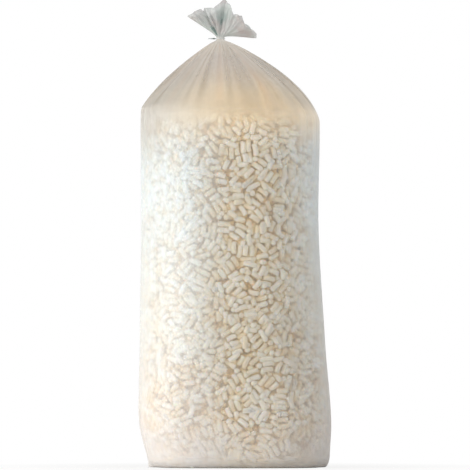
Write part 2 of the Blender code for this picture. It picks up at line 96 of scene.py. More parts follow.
def bag_reach(height, shares, size, fullness, neck):
    """How far the film stands out on one side: through its shares of a size, then in to the neck."""
    knots = [(level * NECK_BOTTOM, share * size) for level, share in shares]
    body = curve_through(height, knots)
    shoulder = knots[-1][0]
    up = np.clip((height - shoulder) / (NECK_BOTTOM - shoulder), 0, 1)
    dome = neck + (body - neck) * (1 - up**fullness) ** DOME_TUCK
    return np.where(height > shoulder, dome, body)


# How far the film stands out to the left, right and front at shares of the height to the neck, as shares of
# the bag's size, and how square its section is: 2 is an ellipse.
LEFT_SHARES = [(0, 0.454), (0.110, 0.5), (0.299, 0.5), (0.559, 0.491), (0.837, 0.496)]
RIGHT_SHARES = [(0, 0.491), (0.110, 0.5), (0.299, 0.468), (0.559, 0.433), (0.806, 0.443)]
FRONT_SHARES = [(0, 0.435), (0.110, 0.460), (0.299, 0.478), (0.559, 0.5), (0.820, 0.492)]
SQUARENESS = [(0, 3.0), (0.860, 2.5), (1.240, 2.5), (1.539, 2.0)]


def bag_section(height):
    """Centre x, half width, half depth and squareness at each height, and how far the heel draws it in."""
    left = bag_reach(height, LEFT_SHARES, BAG_WIDTH, LEFT_FULLNESS, NECK_RADIUS - NECK_X)
    right = bag_reach(height, RIGHT_SHARES, BAG_WIDTH, RIGHT_FULLNESS, NECK_RADIUS + NECK_X)
    front = bag_reach(height, FRONT_SHARES, BAG_DEPTH, FRONT_FULLNESS, NECK_RADIUS)
    drop = np.maximum(0, HEEL_RADIUS - height)
    inset = HEEL_RADIUS - np.sqrt(np.maximum(HEEL_RADIUS**2 - drop**2, 0))
    return (right - left) / 2, (right + left) / 2, front, curve_through(height, SQUARENESS), inset


def film_radius(angle, height, ear=0.0):
    """Distance of the film from the middle of its section in the direction of an angle."""
    centre, width, depth, square, inset = bag_section(height)
    inset = inset * (1 - ear)
    across = np.abs(np.cos(angle) / (width - inset)) ** square
    along = np.abs(np.sin(angle) / (depth - inset)) ** square
    return centre, (across + along) ** (-1 / square)


# Bag film, its folds
# The film is drawn together by hand, so its folds are uneven: broad and shallow at the shoulders, narrow and
# deep at the neck, with longer creases that cross the shoulders and the weld corners.
EAR_SPAN = math.radians(9)
RIGHT_EAR = 0.6
BROAD_FOLDS, FOLD_DEPTH, FOLD_START = 13, 0.0125, 1.235
FINE_FOLDS, FINE_FOLD_DEPTH = 29, 0.0011


def angle_from(angle, centre):
    """Turn from a centre to an angle, between half a turn back and half a turn on."""
    return np.arctan2(np.sin(angle - centre), np.cos(angle - centre))


def ridge(phase):
    """A fold's profile from -1 to 1, with a narrow crest and a broad valley."""
    return 1.1 - 2.1 * (np.sin(phase / 2) ** 2 + 0.025) ** 0.42


def smooth_step(value, low, high):
    """0 below low, 1 above high and an even swing between them."""
    t = np.clip((value - low) / (high - low), 0, 1)
    return t * t * (3 - 2 * t)


def fold_profiles(angle, height):
    """The broad folds and the fine ones between them, each from -1 to 1."""
    drift = 0.9 * np.sin(3 * angle + 0.4) + 0.5 * np.sin(5 * angle + 2.0)
    sway = 0.5 * np.sin(9 * height + 2 * angle)
    broad = ridge(BROAD_FOLDS * angle + drift + sway) * (0.65 + 0.35 * np.sin(2 * angle + 1.0))
    fine = ridge(FINE_FOLDS * angle + 2 * drift - sway) * (0.6 + 0.4 * np.sin(7 * angle))
    return broad, fine


def fold_offset(angle, height):
    """How far the folds lift the film out of its plain shape."""
    broad, fine = fold_profiles(angle, height)
    rise = smooth_step(height, FOLD_START, 1.39)
    fall = 1 - 0.90 * smooth_step(height, 1.40, NECK_BOTTOM)
    fine_rise = smooth_step(height, 1.32, 1.48) * (1 - 0.6 * smooth_step(height, 1.48, NECK_BOTTOM))
    return rise * fall * FOLD_DEPTH * broad + fine_rise * FINE_FOLD_DEPTH * fine


# Long creases: turn in degrees, lowest and highest point, height of the crease, its width in degrees, and how
# far it leans round the bag, in radians for each metre up.
BODY_CREASES = [
    (-41, 1.12, 1.36, 0.0100, 2.4, 0.12),
    (-29, 1.02, 1.30, 0.0040, 2.2, 0.10),
    (-53, 1.22, 1.45, 0.0050, 3.0, -0.35),
    (-66, 1.21, 1.42, 0.0045, 2.8, 0.30),
    (-142, 1.10, 1.36, 0.0040, 2.2, -0.20),
    (-151, 1.06, 1.33, 0.0040, 2.0, -0.25),
    (-160, 0.98, 1.30, 0.0035, 2.2, -0.15),
    (158, 1.05, 1.34, 0.0040, 2.4, 0.20),
    (40, 1.06, 1.32, 0.0040, 2.2, -0.10),
    (96, 0.92, 1.30, 0.0035, 2.4, 0.12),
    (-172, 0.02, 0.30, 0.0040, 2.4, 0.25),
    (-160, 0.01, 0.24, 0.0035, 2.0, 0.35),
    (-16, 0.02, 0.26, 0.0035, 2.2, -0.30),
    (172, 0.02, 0.30, 0.0040, 2.4, -0.25),
]


def crease_offset(angle, height):
    """How far the long creases stand out of the body."""
    offset = np.zeros_like(angle)
    for centre, low, high, depth, width, lean in BODY_CREASES:
        along = smooth_step(height, low, low + 0.08) * (1 - smooth_step(height, high - 0.08, high))
        place = math.radians(centre) + lean * (height - low)
        offset = offset + depth * along * np.exp(-((angle_from(angle, place) / math.radians(width)) ** 2))
    return offset


def body_offset(angle, height):
    """Slack and creases of the film on the body."""
    calm = smooth_step(height, 0.03, 0.15) * (1 - smooth_step(height, 1.15, 1.30))
    slack = 0.0012 * np.sin(7 * angle + 3.1 * height) + 0.0010 * np.sin(11 * angle - 5.3 * height + 1.0)
    return calm * slack + crease_offset(angle, height)


def film_surface(angle, height):
    """Points on the outside of the film from the floor to the top of the neck."""
    left_ear = np.exp(-((angle_from(angle, math.pi) / EAR_SPAN) ** 2))
    right_ear = RIGHT_EAR * np.exp(-((angle_from(angle, 0.0) / EAR_SPAN) ** 2))
    level = np.minimum(height, NECK_BOTTOM)
    centre, radius = film_radius(angle, level, left_ear + right_ear)
    radius = radius + fold_offset(angle, level) + body_offset(angle, level)
    return np.stack([centre + radius * np.cos(angle), radius * np.sin(angle), height], axis=-1)


# Bag film, the tail above the tie
# The open end of the tube, left about 120 mm long above the tie. It springs out of the neck as a ruffled fan
# with a wing to the left, a point at the top and a broad lobe to the right.
TAIL_RISE = 0.008
TAIL_LEAN = 18
TAIL_SPREAD = 73
BACK_LENGTH = 0.94
# Fan angle in degrees, 0 straight up and more to the right, and how far the rim is from the neck there.
TAIL_OUTLINE = [
    (-55, 0.131), (-42, 0.127), (-31, 0.119), (-29, 0.108), (-26, 0.117), (-11, 0.108),
    (-1, 0.121), (7, 0.139), (13, 0.127), (16, 0.130), (30, 0.105), (42, 0.118),
    (48, 0.111), (66, 0.112), (78, 0.120), (86, 0.121), (91, 0.116),
]
# Fan angle and how far the film stands out of the fan there, in degrees, to the front and to the back.
TAIL_FRONT = [
    (-55, 0), (-48, -15), (-35, -15), (-29, -2), (-24, -22), (-17, -17), (-9, -25), (2, -17),
    (9, -7), (15, -25), (30, -33), (55, -36), (76, -26), (86, -9), (91, 0),
]
TAIL_BACK = [
    (-55, 0), (-44, 16), (-35, 7), (-22, 25), (-8, 15), (6, 27), (14, 17), (28, 26),
    (41, 13), (55, 24), (66, 11), (80, 17), (91, 0),
]
TAIL_ROWS = 26


def tail_surface(angle, share):
    """Points on the outside of the tail, share of the way from the neck to its rim, and its fan angle."""
    root = film_surface(angle, np.full_like(angle, NECK_TOP))
    fan = TAIL_LEAN + TAIL_SPREAD * np.cos(angle)
    front = np.interp(fan, *np.array(TAIL_FRONT).T)
    back = np.interp(fan, *np.array(TAIL_BACK).T)
    opened = smooth_step(share, 0.0, 0.45)
    crinkle = 0.7 * np.sin(31 * angle + 2.0 * np.sin(5 * angle)) * np.abs(np.sin(angle))
    crinkle = crinkle * (1 - 0.7 * smooth_step(fan, 8, 30))
    crumple = 5.0 * np.sin(7.5 * share + 0.11 * fan) * np.sin(0.19 * fan + 3.0 * share + 0.6)
    crumple = crumple * np.abs(np.sin(angle))
    out = np.where(np.sin(angle) < 0, front, back) * (0.55 + 0.45 * opened) + (crinkle + crumple) * opened
    length = np.interp(fan, *np.array(TAIL_OUTLINE).T)
    length = length * np.where(np.sin(angle) > 0, BACK_LENGTH, 1.0)
    curl = 7 * smooth_step(share, 0.6, 1.0) * np.sin(3 * angle + 1.0)
    fan, out = np.radians(fan), np.radians(out + curl)
    direction = np.stack([np.sin(fan) * np.cos(out), np.sin(out), np.cos(fan) * np.cos(out)], axis=-1)
    tip = root + direction * length[..., None]
    bend = root + np.array([0, 0, TAIL_RISE])
    s = share[..., None]
    return root * (1 - s) ** 2 + bend * 2 * s * (1 - s) + tip * s**2


# Bag film, the mesh
# The tube and its bottom weld are one skin from the middle of the base to the open rim of the tail. The wall
# is drawn 0.3 mm thick, six times the real one, so that its two faces stay apart.
FILM_WALL = 0.0003
BODY_COLUMNS = 320
HEEL_ROWS, BODY_ROWS, DOME_ROWS = 7, 62, 40
BASE_RINGS = (0.3, 0.62, 0.86)


def mesh_object(name, points, faces):
    mesh = bpy.data.meshes.new(name)
    mesh.from_pydata([tuple(p) for p in points], [], faces)
    mesh.shade_smooth()
    return add_object(name, mesh)


def keep_values(mesh, label, values):
    """Keep a number or a vector for every point of a mesh."""
    kind, field = ("FLOAT", "value") if values.ndim == 1 else ("FLOAT_VECTOR", "vector")
    kept = mesh.attributes.new(label, kind, "POINT")
    kept.data.foreach_set(field, values.astype(np.float32).ravel())


def tube_faces(rows, columns):
    """Quads between closed rings of points that are stored row after row."""
    faces = []
    for low in range(0, (rows - 1) * columns, columns):
        for i in range(columns):
            j = (i + 1) % columns
            faces.append((low + i, low + j, low + columns + j, low + columns + i))
    return faces


turns = np.arange(BODY_COLUMNS) * math.tau / BODY_COLUMNS
heel_heights = HEEL_RADIUS * (1 - np.cos(np.linspace(0, math.pi / 2, HEEL_ROWS)))
body_heights = np.linspace(HEEL_RADIUS, FOLD_START, BODY_ROWS)[1:]
dome_heights = np.linspace(FOLD_START, NECK_BOTTOM, DOME_ROWS)[1:]
film_heights = np.concatenate([heel_heights, body_heights, dome_heights, [NECK_TOP]])
grid_turn, grid_height = np.meshgrid(turns, film_heights)
film_rows = film_surface(grid_turn, grid_height)
rim_turn, rim_share = np.meshgrid(turns, np.linspace(0, 1, TAIL_ROWS + 1)[1:])
tail_rows = tail_surface(rim_turn, rim_share)
base_rows = []
for share in BASE_RINGS:
    ring = film_rows[0].copy()
    ring[:, :2] = ring[:, :2] * share
    base_rows.append(ring)
film_points = np.concatenate([np.array(base_rows), film_rows, tail_rows]).reshape(-1, 3)
film_points = np.vstack([film_points, [[0.0, 0.0, 0.0]]])
row_count = len(base_rows) + len(film_rows) + len(tail_rows)
pole = len(film_points) - 1
film_faces = tube_faces(row_count, BODY_COLUMNS)
film_faces += [(pole, (i + 1) % BODY_COLUMNS, i) for i in range(BODY_COLUMNS)]
film = mesh_object("bag_film_visual", film_points, film_faces)
wall = film.modifiers.new("film wall", "SOLIDIFY")
wall.thickness = FILM_WALL
wall.offset = -1

# The film's own measures, kept on its mesh for the material. off_fill is how far it stands off the peanuts
# and veils them, least along one strip at the front and one at the back. gathered and crease are the dome's
# folds, painted_fold_shade the painted shade and light in bands along them, painted_warm_glow a painted warm
# glow round the top of the fill, shoulder_painted_shade painted shade on the shoulders, and printed the plain
# bands on the tail.
CLEAR_STRIP = math.radians(-82)
# Degrees from the strip to where the veil is full.
LEFT_VEIL, RIGHT_VEIL = 43, 60
x, y, z = film_points.T
turn_of = np.arctan2(y, x)
side_turn = angle_from(turn_of, CLEAR_STRIP)
front_turn = np.minimum(np.abs(side_turn), math.pi - np.abs(side_turn))
off_fill = smooth_step(front_turn, 0.0, np.radians(np.where(side_turn < 0, LEFT_VEIL, RIGHT_VEIL)))
off_fill = off_fill * (0.90 + 0.10 * smooth_step(z, 0.10, 0.60)) + 0.30 * (1 - smooth_step(z, 0.0, 0.20))
off_fill = off_fill + 0.35 * smooth_step(z, 1.16, 1.27)
gathered_up = smooth_step(z, 1.23, 1.33)
neck_turn = np.arctan2(y, x - NECK_X)
broad, fine = fold_profiles(neck_turn, np.minimum(z, NECK_BOTTOM))
crease = np.clip(broad, 0, 1) ** 2 * gathered_up + 0.5 * np.clip(fine, 0, 1) ** 2 * smooth_step(z, 1.36, 1.5)
section_turn = np.arctan2(y, x - bag_section(np.minimum(z, NECK_BOTTOM))[0])
crease = crease + np.clip(crease_offset(section_turn, z) / 0.004, 0, 1) * (z < NECK_BOTTOM)
# Painted shade and light in bands that radiate from the neck down the dome along its folds; the same bands
# also thicken the film a little.
bend = 0.8 * np.sin(3 * neck_turn + 0.6) + 0.25 * np.sin(6 * z + 2 * neck_turn)
painted_fold_shade = np.sin(11 * neck_turn + bend) + 0.8 * np.sin(19 * neck_turn - 1.6 * bend + 1.0)
painted_fold_shade = painted_fold_shade + 0.7 * np.sin(37 * neck_turn + 2.4 * bend + 2.0)
painted_fold_shade = 0.5 + 0.30 * painted_fold_shade * smooth_step(z, 1.24, 1.40) * (1 - smooth_step(z, 1.50, NECK_TOP))
# Painted warm glow round the top of the fill and the low dome, strongest to the front right and back left,
# for light that comes in through the dome.
glow_turn = 0.5 + 0.5 * np.cos(2 * angle_from(neck_turn, math.radians(-68)))
painted_warm_glow = (0.02 + 0.62 * glow_turn) * smooth_step(z, 1.12, 1.28) * (1 - smooth_step(z, 1.31, 1.47))
# Painted shade on the left shoulder and on the upper right of the dome.
leftward = smooth_step(np.abs(turn_of), math.radians(105), math.radians(150))
shoulder_painted_shade = leftward * smooth_step(z, 1.02, 1.26) * (1 - smooth_step(z, 1.34, 1.50))
rightward = 1 - smooth_step(np.abs(turn_of), math.radians(30), math.radians(75))
shoulder_painted_shade = shoulder_painted_shade + 0.8 * rightward * smooth_step(z, 1.25, 1.32) * (1 - smooth_step(z, 1.44, 1.53))
tail_first = (len(base_rows) + len(film_rows)) * BODY_COLUMNS
in_tail = np.zeros(len(film_points))
in_tail[tail_first:pole] = 1.0
printed = np.zeros(len(film_points))
rim_fan = TAIL_LEAN + TAIL_SPREAD * np.cos(rim_turn)
front_face = np.sin(rim_turn) < 0.2
# Each band's sides in degrees of the fan, its ends in shares of the tail, and its strength.
for fan_low, fan_high, share_low, share_high, strength in (
    (-44, -22, 0.16, 0.62, 1.0),
    (0, 12, 0.52, 0.72, 1.0),
    (-10, 20, 0.62, 0.86, 0.35),
):
    across = smooth_step(rim_fan, fan_low, fan_low + 5) * (1 - smooth_step(rim_fan, fan_high - 5, fan_high))
    along = smooth_step(rim_share, share_low, share_low + 0.08)
    along = along * (1 - smooth_step(rim_share, share_high - 0.08, share_high))
    printed[tail_first:pole] += (strength * across * along * front_face).ravel()
measures = {
    "off_fill": np.clip(off_fill, 0, 1),
    "gathered": gathered_up,
    "crease": crease,
    "painted_fold_shade": np.clip(painted_fold_shade, 0, 1),
    "painted_warm_glow": painted_warm_glow,
    "shoulder_painted_shade": shoulder_painted_shade,
    "tail": in_tail,
    "printed": np.clip(printed, 0, 1),
}
for label, values in measures.items():
    keep_values(film.data, label, values)


# Bag film, material
# Low-density polythene, blown and left natural: milky and softly glossy, clearest where it lies tight on the
# fill, and denser and greyer wherever it is gathered, the grey there partly painted shade. Most light passes
# it, and a part is scattered through. Painted light and shade are mixed into its colour at the top of the
# fill and on the dome.
FILM_ROUGHNESS, FILM_IOR = 0.45, 1.51
CLEAREST, HAZIEST = 0.24, 0.43
TAIL_OPACITY = 0.50


def srgb(text):
    """Linear colour from an sRGB hex value."""
    parts = [int(text[i : i + 2], 16) / 255 for i in (1, 3, 5)]
    linear = [c / 12.92 if c <= 0.04045 else ((c + 0.055) / 1.055) ** 2.4 for c in parts]
    return (*linear, 1.0)


def add_node(tree, kind, inputs=None, **settings):
    """A node with its settings, and its inputs given values or joined to sockets or nodes' first outputs."""
    node = tree.nodes.new(kind)
    for key, value in settings.items():
        setattr(node, key, value)
    for key, value in (inputs or {}).items():
        value = value.outputs[0] if isinstance(value, bpy.types.Node) else value
        if isinstance(value, bpy.types.NodeSocket):
            tree.links.new(value, node.inputs[key])
        else:
            node.inputs[key].default_value = value
    return node


def new_material(name):
    """An empty node material, its tree, and the place on the object in it."""
    material = bpy.data.materials.new(name)
    material.use_nodes = True
    tree = material.node_tree
    tree.nodes.clear()
    return material, tree, add_node(tree, "ShaderNodeTexCoord").outputs["Object"]


def ramp(tree, value, stops):
    """A colour ramp over (position, hex) stops."""
    node = add_node(tree, "ShaderNodeValToRGB", {"Fac": value})
    elements = node.color_ramp.elements
    while len(elements) < len(stops):
        elements.new(0.5)
    for element, (position, text) in zip(elements, stops):
        element.position = position
        element.color = srgb(text)
    return node.outputs["Color"]


def number_map(tree, value, from_low, from_high, to_low, to_high):
    ends = {"From Min": from_low, "From Max": from_high, "To Min": to_low, "To Max": to_high}
    return add_node(tree, "ShaderNodeMapRange", {"Value": value, **ends}).outputs["Result"]


def calculate(tree, operation, first, second):
    node = add_node(tree, "ShaderNodeMath", {0: first, 1: second}, operation=operation)
    return node.outputs["Value"]


def mix_numbers(tree, share, first, second):
    return add_node(tree, "ShaderNodeMix", {"Factor": share, "A": first, "B": second}).outputs["Result"]


def mix_colours(tree, share, first, second, blend="MIX"):
    """A colour mix; the colour sockets of the node share their names, so they are reached by number."""
    inputs = {0: share, 6: first, 7: second}
    return add_node(tree, "ShaderNodeMix", inputs, data_type="RGBA", blend_type=blend).outputs[2]


def attribute(tree, label):
    """A measure kept on the mesh."""
    return add_node(tree, "ShaderNodeAttribute", attribute_name=label).outputs["Fac"]


def noise(tree, place, scale):
    inputs = {"Vector": place, "Scale": scale, "Detail": 2.0}
    return add_node(tree, "ShaderNodeTexNoise", inputs).outputs["Fac"]


def principled(tree, colour, roughness, ior, **more):
    inputs = {"Base Color": colour, "Roughness": roughness, "IOR": ior, **more}
    return add_node(tree, "ShaderNodeBsdfPrincipled", inputs)


def set_surface(tree, shader):
    add_node(tree, "ShaderNodeOutputMaterial", {"Surface": shader})


film_material, tree, place = new_material("natural_low_density_polythene_film")
height = add_node(tree, "ShaderNodeSeparateXYZ", {"Vector": place}).outputs["Z"]
measure = {label: attribute(tree, label) for label in measures}
# The film colour by height. It is whiter at the top of the fill, as painted light coming in through the dome.
# It is darker and greyer up the dome, partly for the gathered film and partly as painted shade of the dome's
# shaded inside.
film_tone_and_painted_light = ramp(
    tree,
    number_map(tree, height, 0.0, 1.7, 0.0, 1.0),
    [
        (0.745, "#fffdf8"), (0.785, "#fef8ec"), (0.82, "#e6dccf"),
        (0.865, "#e2dad0"), (0.89, "#f2ebe0"), (0.93, "#f7f7f5"),
    ],
)
side_tone = ramp(tree, height, [(0.10, "#f4f1ef"), (0.55, "#f0f2f1"), (0.95, "#ebf1f4")])
front_tone = ramp(tree, height, [(0.08, "#efe9e1"), (0.35, "#dad3c5"), (1.10, "#dad3c5")])
body_tone = mix_colours(tree, measure["off_fill"], front_tone, side_tone)
film_tone_and_painted_light = mix_colours(tree, number_map(tree, height, 1.12, 1.27, 0.0, 1.0), body_tone, film_tone_and_painted_light)
# The painted warm glow is mixed into the colour.
film_tone_and_painted_light = mix_colours(tree, measure["painted_warm_glow"], film_tone_and_painted_light, srgb("#f8dfae"))
# The painted shade greys the film colour in those places.
film_tone_and_painted_light = mix_colours(tree, calculate(tree, "MULTIPLY", measure["shoulder_painted_shade"], 0.6), film_tone_and_painted_light, srgb("#c6c3bc"))
# The fold bands are multiplied into the colour: painted shade between the folds, a faint painted highlight on
# them.
painted_fold_shade_tone = ramp(tree, measure["painted_fold_shade"], [(0.0, "#c6bba6"), (0.5, "#ffffff"), (1.0, "#fff8f4")])
film_tone_and_painted_light = mix_colours(tree, 0.75, film_tone_and_painted_light, painted_fold_shade_tone, "MULTIPLY")
cloud = noise(tree, place, 16.0)
tail_tone = ramp(tree, cloud, [(0.35, "#c7cec9"), (0.5, "#cacbc8"), (0.65, "#c5bbb7")])
film_tone_and_painted_light = mix_colours(tree, measure["tail"], film_tone_and_painted_light, tail_tone)
film_tone_and_painted_light = mix_colours(tree, measure["printed"], film_tone_and_painted_light, srgb("#6f948c"))
# Die lines run up the film as it was blown, about 12 mm apart and 250 mm long.
stretch = add_node(tree, "ShaderNodeMapping", {"Vector": place, "Scale": (80.0, 80.0, 4.0)})
die_lines = number_map(tree, noise(tree, stretch, 1.0), 0.3, 0.7, -1.0, 1.0)
# Seen edge-on the same wall is a longer way through the milky film, and so denser.
edge_on = add_node(tree, "ShaderNodeLayerWeight", {"Blend": 0.5}).outputs["Facing"]
edge_on = calculate(tree, "MULTIPLY", calculate(tree, "MULTIPLY", edge_on, edge_on), 0.24)
body_opacity = number_map(tree, measure["off_fill"], 0.0, 1.0, CLEAREST, HAZIEST)
for added in (
    number_map(tree, cloud, 0.35, 0.65, -0.03, 0.04),
    edge_on,
    number_map(tree, height, 1.15, 1.25, 0.0, 0.12),
    number_map(tree, height, 0.0, 0.17, 0.15, 0.0),
):
    body_opacity = calculate(tree, "ADD", body_opacity, added)
low_dome = number_map(tree, height, 1.27, 1.38, 0.60, 0.34)
dome_opacity = calculate(tree, "ADD", low_dome, calculate(tree, "MULTIPLY", measure["painted_fold_shade"], 0.10))
opacity = mix_numbers(tree, measure["gathered"], body_opacity, dome_opacity)
opacity = calculate(tree, "ADD", opacity, calculate(tree, "MULTIPLY", measure["crease"], 0.16))
opacity = calculate(tree, "ADD", opacity, calculate(tree, "MULTIPLY", die_lines, 0.015))
opacity = mix_numbers(tree, measure["tail"], opacity, TAIL_OPACITY)
# Handling leaves soft dents about 25 mm across.
dent = noise(tree, place, 38.0)
dents = add_node(tree, "ShaderNodeBump", {"Height": dent, "Strength": 0.25, "Distance": 0.002})
plastic = principled(tree, film_tone_and_painted_light, FILM_ROUGHNESS, FILM_IOR, Normal=dents)
glowing = add_node(tree, "ShaderNodeBsdfTranslucent", {"Color": film_tone_and_painted_light})
clear = add_node(tree, "ShaderNodeBsdfTransparent", {"Color": (1, 1, 1, 1)})
milky = add_node(tree, "ShaderNodeMixShader", {0: 0.35, 1: plastic, 2: glowing})
set_surface(tree, add_node(tree, "ShaderNodeMixShader", {0: opacity, 1: clear, 2: milky}))
film.data.materials.append(film_material)
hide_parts("bag_film")
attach(film, "root")

# Packing peanuts against the film and on the crown
# Bars of foam 45 mm long and 20 mm across. The film presses the outer ones flat, and some lean inwards or
# stand end-on. They are thrown one by one where there is room, and lie where the solid heap's do.
PEANUT_LENGTH = 0.045
PEANUT_DIAMETER = 0.020
# The fill's edge under the shoulders, and how much higher its crown is.
FILL_EDGE = 0.8085 * NECK_BOTTOM
FILL_CROWN = 0.060
FILL_INSET = 0.0011
FILL_FLOOR = 0.0007
UNROLLED_WIDTH = 1.56 * (BAG_WIDTH + BAG_DEPTH)
CREST_DEPTH = 0.002
UNEVENNESS = 0.004
RIM_MARGIN = 0.012
THROW_SEED = 11
# Least and most lean in degrees, closeness in diameters, share laid beside another, throws on the side and on
# the crown.
PEANUT_THROWS = [
    (0, 15, 0.97, 0.6, 26000, 3600),
    (35, 60, 0.94, 0.0, 9000, 1300),
    (90, 90, 0.96, 0.0, 7000, 1000),
]
MATE_TURN = math.radians(16)
MATE_SPACING = 1.22
MATE_SLIDE = 0.6
# How much further in the bars lie than the solid heap's crests.
FOAM_GIVE = 0.0022


def nearest(points, starts, ends):
    """Least distance of each point from any of the segments."""
    run = ends - starts
    length = np.maximum((run * run).sum(1), 1e-12)
    share = np.einsum("pij,ij->pi", points[:, None] - starts[None], run) / length
    foot = starts[None] + np.clip(share, 0, 1)[..., None] * run[None]
    return np.linalg.norm(points[:, None] - foot, axis=2).min(1)


def throw_peanuts(draw, low, high, inside, place):
    """Outer peanuts on a flat area: start and end of each crest, its depth and its drop."""
    length = PEANUT_LENGTH - PEANUT_DIAMETER
    starts, ends = np.zeros((0, 2)), np.zeros((0, 2))
    depths = []
    for least, most, closeness, beside, *throws in PEANUT_THROWS:
        for _ in range(throws[place]):
            middle = np.array([draw.uniform(low[0], high[0]), draw.uniform(low[1], high[1])])
            turn = draw.uniform(0, math.tau)
            if len(starts) > 0 and draw.random() < beside:
                mate = draw.randrange(len(starts))
                run = ends[mate] - starts[mate]
                turn = math.atan2(run[1], run[0]) + draw.uniform(-MATE_TURN, MATE_TURN)
                across = np.array([-run[1], run[0]]) / np.hypot(run[0], run[1])
                step = draw.uniform(closeness, MATE_SPACING) * draw.choice((-1, 1)) * PEANUT_DIAMETER
                slide = draw.uniform(-MATE_SLIDE, MATE_SLIDE)
                middle = (starts[mate] + ends[mate]) / 2 + across * step + run * slide
            lean = math.radians(draw.uniform(least, most))
            depth = CREST_DEPTH + draw.uniform(0, UNEVENNESS)
            arm = length / 2 * math.cos(lean) * np.array([math.cos(turn), math.sin(turn)])
            start, end = middle - arm, middle + arm
            if not (inside(start) and inside(end)):
                continue
            near = np.abs(starts + ends - 2 * middle).max(axis=1, initial=0) < 2 * PEANUT_LENGTH
            if near.any():
                s, e = starts[near], ends[near]
                ours = nearest(np.array([start, end]), s, e).min()
                theirs = nearest(np.concatenate([s, e]), start[None], end[None]).min()
                if min(ours, theirs) < closeness * PEANUT_DIAMETER:
                    continue
            starts, ends = np.vstack([starts, start]), np.vstack([ends, end])
            depths.append((depth, length * math.sin(lean)))
    return starts, ends, np.array(depths)


def wall_place(spot, depth):
    """A point of the fill's side: across is unrolled round the bag, along runs up from the base's rim."""
    across, along = spot.T
    angle = math.pi / 2 + math.tau * across / UNROLLED_WIDTH
    radius = HEEL_RADIUS - FILL_INSET
    quarter = math.pi / 2 * radius
    turn = np.minimum(along, quarter) / radius
    height = FILL_FLOOR + radius - (radius - depth) * np.cos(turn) + np.maximum(along - quarter, 0)
    inset = FILL_INSET + radius - (radius - depth) * np.sin(turn)
    centre, width, front, square, _ = bag_section(height)
    side = np.abs(np.cos(angle) / (width - inset)) ** square
    reach = (side + np.abs(np.sin(angle) / (front - inset)) ** square) ** (-1 / square)
    return np.stack([centre + reach * np.cos(angle), reach * np.sin(angle), height], axis=-1)


def fill_top(spot):
    """Height of the fill's top, which swells towards the middle, over each point."""
    centre, width, front, square, _ = bag_section(FILL_EDGE)
    side = np.abs((spot[:, 0] - centre) / (width - FILL_INSET)) ** square
    share = (side + np.abs(spot[:, 1] / (front - FILL_INSET)) ** square) ** (1 / square)
    return FILL_EDGE + FILL_CROWN * (1 - np.clip(share, 0, 1) ** 2)


def crown_place(spot, depth):
    """A point of the fill's top, given from the middle of its edge."""
    spot = spot + np.array([bag_section(FILL_EDGE)[0], 0])
    return np.column_stack([spot, fill_top(spot) - depth])


def lay_outer_peanuts():
    """Both ends of the centre line of every outer peanut."""
    draw = random.Random(THROW_SEED)
    heel = HEEL_RADIUS - FILL_INSET
    high = FILL_EDGE - FILL_FLOOR - heel + math.pi / 2 * heel
    _, width, front, square, _ = bag_section(FILL_EDGE)
    far = (width - FILL_INSET, front - FILL_INSET)

    def inside_wall(point):
        across = RIM_MARGIN < point[0] < UNROLLED_WIDTH - RIM_MARGIN
        return across and RIM_MARGIN < point[1] < high - RIM_MARGIN

    def inside_crown(point):
        across = abs(point[0]) / (far[0] - RIM_MARGIN)
        along = abs(point[1]) / (far[1] - RIM_MARGIN)
        return across**square + along**square < 1

    heads, feet = [], []
    wall = throw_peanuts(draw, (0, 0), (UNROLLED_WIDTH, high), inside_wall, 0)
    crown = throw_peanuts(draw, (-far[0], -far[1]), far, inside_crown, 1)
    for (starts, ends, lies), place in ((wall, wall_place), (crown, crown_place)):
        depth = lies[:, 0] + PEANUT_DIAMETER / 2 + FOAM_GIVE
        heads.append(place(starts, depth))
        feet.append(place(ends, depth + lies[:, 1]))
    return np.concatenate(heads), np.concatenate(feet)


# Packing peanuts behind the outer ones
# Loose fill finds its own random pack as it is poured. The bars are pushed off each other, off the outer ones
# and off the film until hardly any overlap, and settle under their own weight.
LAYER_DEPTH = 0.052
FLOOR_LAYER = 0.030
FILL_SHARE = 0.60
PACK_ROUNDS = 130
PACK_SEED = 7
# Throws, and half the width and depth of the box that they fall in.
THROWS = 400000
THROW_HALF = (0.35, 0.32)
FILM_CLEARANCE = 0.0042
FLOOR_CLEARANCE = 0.002
# Share of an overlap that one round pushes away, and how much more its end turns a bar than shifts it.
PUSH_SHARE = 0.32
TURN_GAIN = 1.5
# Share of its way back to the outer layers that a bar moves in one round.
RETURN_SHARE = 0.5
SETTLE_STEP = 0.0003
START_SIZE = 0.6


def bag_level(points):
    """1 on the film, less inside it."""
    height = np.clip(points[:, 2], 0, NECK_BOTTOM)
    centre, width, depth, square, inset = bag_section(height)
    across = (points[:, 0] - centre) / (width - inset)
    along = points[:, 1] / (depth - inset)
    level = (np.abs(across) ** square + np.abs(along) ** square) ** (1 / square)
    safe = np.maximum(level, 1e-6)
    slope_x = np.sign(across) * (np.abs(across) / safe) ** (square - 1) / (width - inset)
    slope_y = np.sign(along) * (np.abs(along) / safe) ** (square - 1) / (depth - inset)
    return level, slope_x, slope_y


def film_distance(points):
    """Distance inside the film and the outward direction at each point."""
    step = 1e-3
    level, slope_x, slope_y = bag_level(points)
    slope_z = (bag_level(points + np.array([0, 0, step]))[0] - level) / step
    slope = np.stack([slope_x, slope_y, slope_z], axis=1)
    size = np.linalg.norm(slope, axis=1)
    return (1 - level) / size, slope / size[:, None]


